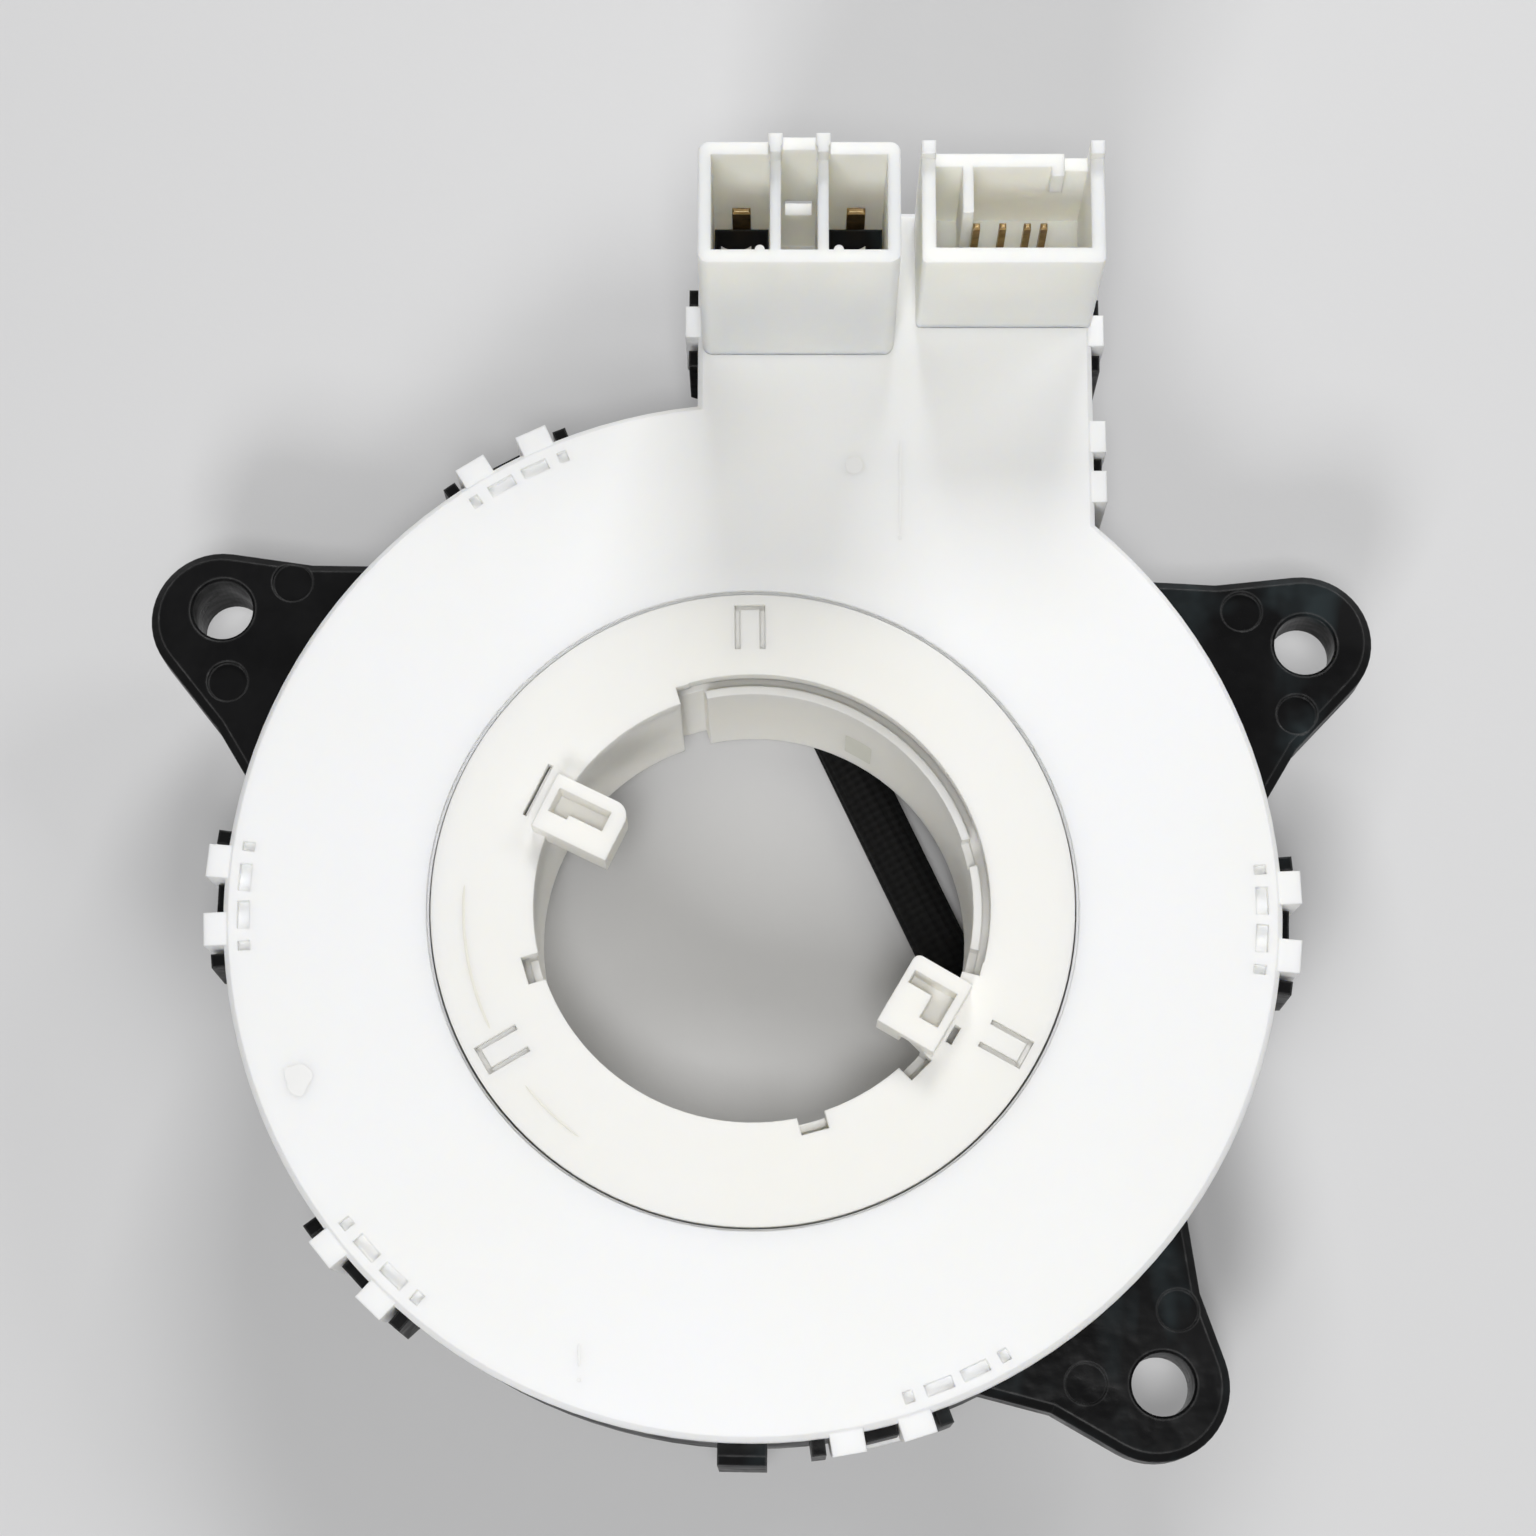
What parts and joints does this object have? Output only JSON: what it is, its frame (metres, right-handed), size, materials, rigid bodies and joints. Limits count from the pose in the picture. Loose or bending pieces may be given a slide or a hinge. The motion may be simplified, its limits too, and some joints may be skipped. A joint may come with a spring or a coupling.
{
  "type": "steering clock spring",
  "caption": "Round flat cassette with a turning rotor and open bore, mounting ears, and an extension with tall plug sockets for steering wheel wiring.",
  "frame": {"origin": "on the rotor's turning axis, in the plane of the lower case's back face", "axes": "+Z along the turning axis towards the steering column, the side with the two tall sockets; +Y from the axis towards the extension that carries them"},
  "size_m": [0.1179, 0.1192, 0.0539],
  "materials": {
    "white_cover": "smooth white moulded plastic",
    "white_rotor": "smooth cream-white moulded plastic",
    "white_socket": "smooth off-white moulded plastic",
    "black_case": "black moulded plastic with a soft sheen",
    "black_insert": "matt black moulded plastic",
    "bronze_terminal": "drawn bronze",
    "spring_steel": "bright spring steel",
    "ribbon_film": "clear film over flat copper conductors",
    "slip_film": "thin low-friction film",
    "lead_sleeve": "matt black sleeve",
    "plug_plastic": "yellow moulded plastic"
  },
  "bodies": {
    "stator": {"lower_case": "black_case", "upper_cover": "white_cover", "airbag_socket": "white_socket", "auxiliary_socket": "white_socket", "outer_terminal_block": "black_insert", "ribbon_cable": "ribbon_film", "lower_slip_sheet": "slip_film", "upper_slip_sheet": "slip_film", "shorting_bar_carrier_left": "black_insert", "shorting_bar_carrier_right": "black_insert", "shorting_clip_left": "spring_steel", "shorting_clip_right": "spring_steel", "airbag_blade_left": "bronze_terminal", "airbag_blade_right": "bronze_terminal", "auxiliary_pin_1": "bronze_terminal", "auxiliary_pin_2": "bronze_terminal", "auxiliary_pin_3": "bronze_terminal", "auxiliary_pin_4": "bronze_terminal"},
    "rotor": {"rotor_flange": "white_rotor", "rotor_hub": "white_rotor", "inner_terminal_block": "black_insert", "airbag_lead": "lead_sleeve", "airbag_plug": "plug_plastic", "switch_pin_1": "bronze_terminal", "switch_pin_2": "bronze_terminal", "switch_pin_3": "bronze_terminal", "switch_pin_4": "bronze_terminal", "switch_pin_5": "bronze_terminal"}
  },
  "joints": [
    {"name": "rotor_spin", "type": "hinge", "parent": "stator", "child": "rotor", "pos_m": [0, 0, 0], "axis": [0, 0, 1], "range_deg": [-900, 900]}
  ]
}
